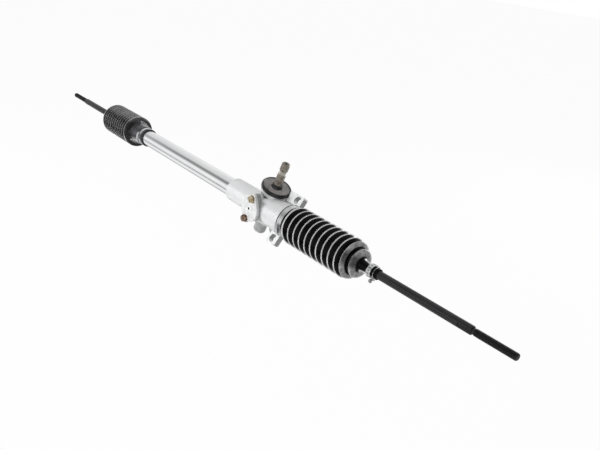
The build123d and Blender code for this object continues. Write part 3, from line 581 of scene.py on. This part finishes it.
BOOT_STEPS = 112
RUBBER_IOR = 1.45
NEAR_FIRST_CREST = 33.5
NEAR_PITCH = 12.95
NEAR_FOLDS = 10
NEAR_CREST_R = 31.0
NEAR_VALLEY_R = 28.0
NEAR_GRAIN = 16
near_crests = [NEAR_FIRST_CREST + NEAR_PITCH * fold for fold in range(NEAR_FOLDS)]
near_skin = [
    (10.6, 25.7), (10.6, 27.7), (11.0, 28.3), (11.6, 28.5), (12.3, 28.3), (12.7, 27.6),
    (12.8, 27.22), (22.2, 27.22), (24.6, 27.4), (27.0, 28.0), (29.4, 29.6), (31.0, 30.6),
    (32.3, 30.95),
]
near_skin += fold_row(near_crests, NEAR_CREST_R, NEAR_VALLEY_R, NEAR_GRAIN)
near_skin += [
    (151.2, 30.7), (152.3, 29.9), (153.3, 28.7), (154.1, 27.4), (154.8, 26.8), (155.5, 26.9),
    (156.3, 27.8), (157.1, 28.7), (157.9, 29.1), (158.7, 28.9), (159.5, 28.1), (160.2, 26.6),
    (160.9, 24.4), (161.6, 21.8), (162.2, 20.2), (162.5, 19.5),
]
near_lining = [
    (12.8, 25.64), (22.2, 25.64), (24.4, 25.8), (151.0, 25.8), (154.2, 25.1), (157.6, 25.1),
    (160.0, 21.8), (161.3, 19.0),
]
near_main = spun("near_boot_bellows", near_skin + near_lining[::-1])

rubber, shader, place = new_material("boot_rubber")
mould = place.noise(500, 3)
# Painted sheen: where a fold is seen nearly edge on, its colour turns pale and partly metallic.
grazing = edge_light(place, 0.054, 0.17, 0.7)
off_axis = place.away_from((0, 0, 0), RACK_AXIS)
plate = place.part(0).rise(0.1572, 0.1584) * off_axis.rise(0.0215, 0.0235)
small_fold = place.part(0).rise(0.1690, 0.1705) * off_axis.rise(0.0115, 0.0135)
# The end plate and the small fold are lighter: real bloom in patches, and painted sheen that grows
# towards their top and bottom.
high_or_low = abs(place.along((0, 0, 0), (0, 0.407, 0.914))).rise(0.003, 0.017)
patches = 0.5 + place.noise(150, 4, 0.6).rise(0.3, 0.7) * 0.5
bloom = plate.larger(small_fold) * (0.25 + high_or_low * 0.75) * patches
black = bloom.blend((0.0015, 0.0015, 0.0018), (0.46, 0.46, 0.465))
feed(
    shader,
    Base_Color=grazing.blend(black, (0.80, 0.80, 0.80)),
    Metallic=grazing * 0.6,
    Roughness=0.2 + mould * 0.08,
)
set_shader(shader, Specular_IOR_Level=0.08)
near_main.data.materials.append(rubber)
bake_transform(near_main)

near_end_skin = [
    (161.9, 20.2), (162.6, 19.4), (163.6, 18.0), (164.6, 17.4), (165.8, 17.8), (166.8, 19.6),
    (167.8, 21.0), (169.2, 21.7), (170.8, 21.7), (171.9, 20.9), (172.6, 18.6), (173.1, 15.0),
    (173.7, 11.8), (174.6, 10.0), (176.0, 9.1), (178.5, 8.7), (186.0, 8.6), (189.6, 8.9),
    (190.6, 9.2), (199.4, 9.2), (200.2, 9.0), (201.2, 8.1), (202.2, 8.1), (203.0, 9.0),
    (204.0, 9.2), (205.0, 8.4), (206.0, 8.5), (207.0, 7.9),
]
near_end_lining = [
    (161.9, 18.8), (163.8, 16.4), (168.0, 16.2), (171.0, 13.0), (174.0, 6.6), (176.0, 6.45),
    (207.0, 6.45),
]
near_end = spun("near_boot_neck", near_end_skin + near_end_lining[::-1])
near_end.data.materials.append(rubber)
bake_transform(near_end)
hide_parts("near_boot")
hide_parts("near_boot")

# ---- boot clamps ----
# Bright steel strip, pulled tight by a slotted screw in a raised housing. The one on the near
# rod is perforated for the screw's thread.
NEAR_GRIP_X = 0.195
SLOTS_ROUND = 14.0
strip, shader, place = new_material("clamp_strip")
roll = place.noise(260, 2, 0.5, (0.2, 1, 1))
from_middle = abs(place.part(0) - NEAR_GRIP_X)
round_rod = place.math("ARCTAN2", place.part(2), place.part(1))
tooth = (round_rod * SLOTS_ROUND).sine()
slots = tooth.rise(0.1, 0.5) * from_middle.fall(0.0016, 0.0022) * place.part(0).rise(0.18, 0.181)
rolled = roll.blend((0.62, 0.625, 0.63), (0.74, 0.745, 0.75))
feed(
    shader,
    Base_Color=slots.blend(rolled, (0.12, 0.12, 0.12)),
    Metallic=1.0 - slots * 0.9,
    Roughness=0.32 + roll * 0.14 + slots * 0.3,
)
dress(
    strip, "near_boot_clamp", "near_boot_clamp_screw", "far_boot_clamp", "far_boot_clamp_screw",
    "near_rod_clamp", "near_rod_clamp_screw", "far_rod_clamp", "far_rod_clamp_screw",
)

# ---- far boot ----
# Moulded rubber bellows from the tube to the far tie rod: finer folds than the near boot's, a
# smooth neck beside the cuff and a dark grey skin that is lighter towards the top.
FAR_FIRST_CREST = -502.0
FAR_SPAN = 97.0
FAR_FOLDS = 12
FAR_CREST_R = 31.5
FAR_VALLEY_R = 29.5
FAR_GRAIN = 14
SEAM = 5 * FAR_GRAIN + FAR_GRAIN // 2  # corner in a valley where bellows and neck meet
far_crests = [FAR_FIRST_CREST - FAR_SPAN / (FAR_FOLDS - 1) * fold for fold in range(FAR_FOLDS)]
far_folds = fold_row(far_crests, FAR_CREST_R, FAR_VALLEY_R, FAR_GRAIN)
far_skin = [
    (-450.5, 17.6), (-450.9, 18.2), (-452.6, 18.3), (-453.2, 17.8), (-453.6, 17.1),
    (-462.6, 17.1), (-464.2, 17.6), (-465.6, 18.6), (-467.4, 19.2), (-472.0, 19.5),
    (-482.0, 20.0), (-490.0, 20.6), (-493.6, 21.2), (-494.8, 22.4), (-495.3, 25.0),
    (-495.6, 28.0), (-496.2, 30.2), (-497.2, 31.2), (-498.6, 31.5), (-500.2, 31.5),
]
far_skin += far_folds[:SEAM + 1]
far_lining = [
    (-450.5, 15.55), (-462.6, 15.55), (-466.0, 17.4), (-491.0, 18.6), (-496.8, 26.4),
    (-498.6, 27.6), (far_folds[SEAM][0], 27.6),
]
far_main = spun("far_boot_bellows", far_skin + far_lining[::-1])

dull_rubber, shader, place = new_material("far_boot_rubber")
far_patches = place.noise(80, 5, 0.65)
on_top = place.part(2).rise(0.018, 0.031)
# Painted sheen: where a fold is seen nearly edge on, its colour turns pale and partly metallic.
grazing = edge_light(place, 0.09, 0.30, 0.8)
collar = place.part(0).rise(-0.4935, -0.4915)
# The skin is lighter towards the top, in patches.
lighter_on_top = on_top * (0.4 + far_patches.rise(0.3, 0.7) * 0.6)
grey = lighter_on_top.blend((0.003, 0.003, 0.0033), (0.16, 0.16, 0.165))
grey = collar.blend(grey, far_patches.blend((0.012, 0.012, 0.014), (0.06, 0.06, 0.068)))
feed(
    shader,
    Base_Color=grazing.blend(grey, (0.75, 0.75, 0.76)),
    Metallic=grazing * 0.6,
    Roughness=0.20 + far_patches * 0.12,
)
set_shader(shader, Specular_IOR_Level=0.5)
far_main.data.materials.append(dull_rubber)
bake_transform(far_main)

far_end_skin = far_folds[SEAM:] + [
    (-601.0, 31.3), (-603.0, 30.4), (-604.8, 27.6), (-606.4, 23.0), (-608.2, 18.0),
    (-610.4, 14.6), (-613.0, 12.2), (-616.0, 10.2), (-620.4, 9.2), (-632.4, 9.2),
    (-636.0, 9.2), (-639.0, 8.8), (-640.0, 8.2),
]
far_end_lining = [
    (far_folds[SEAM][0], 27.6), (-600.0, 27.6), (-605.0, 20.0), (-612.0, 8.6),
    (-620.0, 6.45), (-640.0, 6.45),
]
far_end = spun("far_boot_neck", far_end_skin + far_end_lining[::-1])
far_end.data.materials.append(dull_rubber)
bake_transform(far_end)
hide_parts("far_boot")
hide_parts("far_boot")


# ---- tie rods ----
# Steel rods with the inner ball forged on, in a satin black finish. Two spanner flats stand
# beside the M10 thread, which is rolled with a pitch of 1.5 mm.
ROD_R = 6.2
THREAD_R = 5.0
THREAD_ROOT = 4.15
THREAD_PITCH = 1.5
THREAD_LENGTH = 60.0
THREAD_STEPS = 40   # steps in one turn of the thread
RELIEF_LENGTH = 3.0  # groove between the thread and the flats
RELIEF_R = 4.3
FLATS_LENGTH = 20.0
FLATS_ACROSS = 10.6
STEM_R = 5.6        # thinner length behind the ball
BALL_R = 11.0
ROD_STEPS = 72


def make_rod(name, ball, tip, way):
    """A tie rod from its ball to its tip, along +X where way is 1 and -X where it is -1."""
    length = way * (tip - ball)
    thread_start = length - THREAD_LENGTH
    flats_end = thread_start - RELIEF_LENGTH
    flats_start = flats_end - FLATS_LENGTH
    cut_ball = BALL_R - 0.8
    outline = [(-cut_ball, 0.0), (-cut_ball, sqrt(BALL_R ** 2 - cut_ball ** 2))]
    for step in range(1, 20):
        angle = pi - step * pi / 20
        point = (BALL_R * cos(angle), BALL_R * sin(angle))
        if point[0] > outline[1][0] and (point[0] < 0 or point[1] > STEM_R):
            outline.append(point)
    outline += [
        (9.47, STEM_R), (10.4, STEM_R), (20.0, STEM_R), (23.0, ROD_R), (flats_start - 0.7, ROD_R),
        (flats_start, ROD_R), (flats_start + 0.05, ROD_R), (flats_start + 0.6, ROD_R),
        (flats_end - 1.6, ROD_R), (flats_end - 0.9, ROD_R - 0.1), (flats_end - 0.2, ROD_R - 0.7),
        (flats_end, ROD_R - 1.2), (flats_end, RELIEF_R), (thread_start + 0.4, RELIEF_R),
        (thread_start + 0.4, 0.0),
    ]
    shape = lathe(outline, ROD_STEPS)
    half_flat = FLATS_ACROSS / 2 * MM
    for vert in shape.verts:
        if (flats_start + 0.02) * MM < vert.co.x < (flats_end - 0.1) * MM:
            vert.co.y = max(-half_flat, min(half_flat, vert.co.y))

    coil = bmesh.new()
    start = thread_start - THREAD_PITCH
    ridge = [
        (0.0, THREAD_ROOT), (0.2, THREAD_ROOT), (0.66, THREAD_R), (0.86, THREAD_R),
        (THREAD_PITCH, THREAD_ROOT),
    ]
    corners = [coil.verts.new(((start + x) * MM, 0, r * MM)) for x, r in ridge]
    for first, second in zip(corners, corners[1:]):
        coil.edges.new((first, second))
    turns = int(THREAD_LENGTH / THREAD_PITCH) + 2
    bmesh.ops.spin(
        coil, geom=coil.verts[:] + coil.edges[:], cent=(0, 0, 0), axis=RACK_AXIS,
        dvec=(THREAD_PITCH * MM / THREAD_STEPS, 0, 0), angle=2 * pi * turns,
        steps=THREAD_STEPS * turns, use_merge=False,
    )
    bmesh.ops.remove_doubles(coil, verts=coil.verts, dist=2e-6)
    for place, normal in ((thread_start, -1), (length, 1)):
        cut = bmesh.ops.bisect_plane(
            coil, geom=coil.verts[:] + coil.edges[:] + coil.faces[:], dist=1e-7,
            plane_co=(place * MM, 0, 0), plane_no=(normal, 0, 0), clear_outer=True,
        )
        rim = [edge for edge in cut["geom_cut"] if isinstance(edge, bmesh.types.BMEdge)]
        bmesh.ops.edgeloop_fill(coil, edges=rim)
    for vert in coil.verts:
        reach = min(
            THREAD_R * MM, (THREAD_R - 1.2) * MM + (length * MM - vert.co.x),
            4.2 * MM + (vert.co.x - thread_start * MM),
        )
        radius = sqrt(vert.co.y ** 2 + vert.co.z ** 2)
        if radius > reach:
            vert.co.y *= reach / radius
            vert.co.z *= reach / radius
    coil_mesh = bpy.data.meshes.new("coil")
    coil.to_mesh(coil_mesh)
    coil.free()
    shape.from_mesh(coil_mesh)
    bpy.data.meshes.remove(coil_mesh)
    if way < 0:
        half_turn = Matrix.Rotation(pi, 3, "Z")
        bmesh.ops.rotate(shape, verts=shape.verts, cent=(0, 0, 0), matrix=half_turn)
    bmesh.ops.translate(shape, verts=shape.verts, vec=(ball * MM, 0, 0))
    bmesh.ops.recalc_face_normals(shape, faces=shape.faces)
    return piece(name, shape, 30.0)


black, shader, place = new_material("satin_black")
drag = place.noise(260, 4, 0.6, (0.08, 1, 1))
pits = place.noise(1200, 3)
bare = place.noise(40, 4, 0.6).rise(0.58, 0.72)
finish = drag.blend((0.014, 0.014, 0.015), (0.036, 0.036, 0.039))
feed(
    shader,
    Base_Color=(bare * 0.5).blend(finish, (0.08, 0.08, 0.085)),
    Roughness=0.30 + drag * 0.14 + pits * 0.08,
    Normal=bump(pits, 0.00005, 0.4),
)
set_shader(shader, Metallic=0.6)
RODS = [  # the body, where its ball and its tip stand in mm, and which way it points
    ("near_tie_rod", 140.0, 428.0, 1),
    ("far_tie_rod", -548.0, -822.0, -1),
]
for body, ball, tip, way in RODS:
    rod = make_rod(body + "_forging", ball, tip, way)
    rod.data.materials.append(black)
    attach(rod, body)
    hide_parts(body)
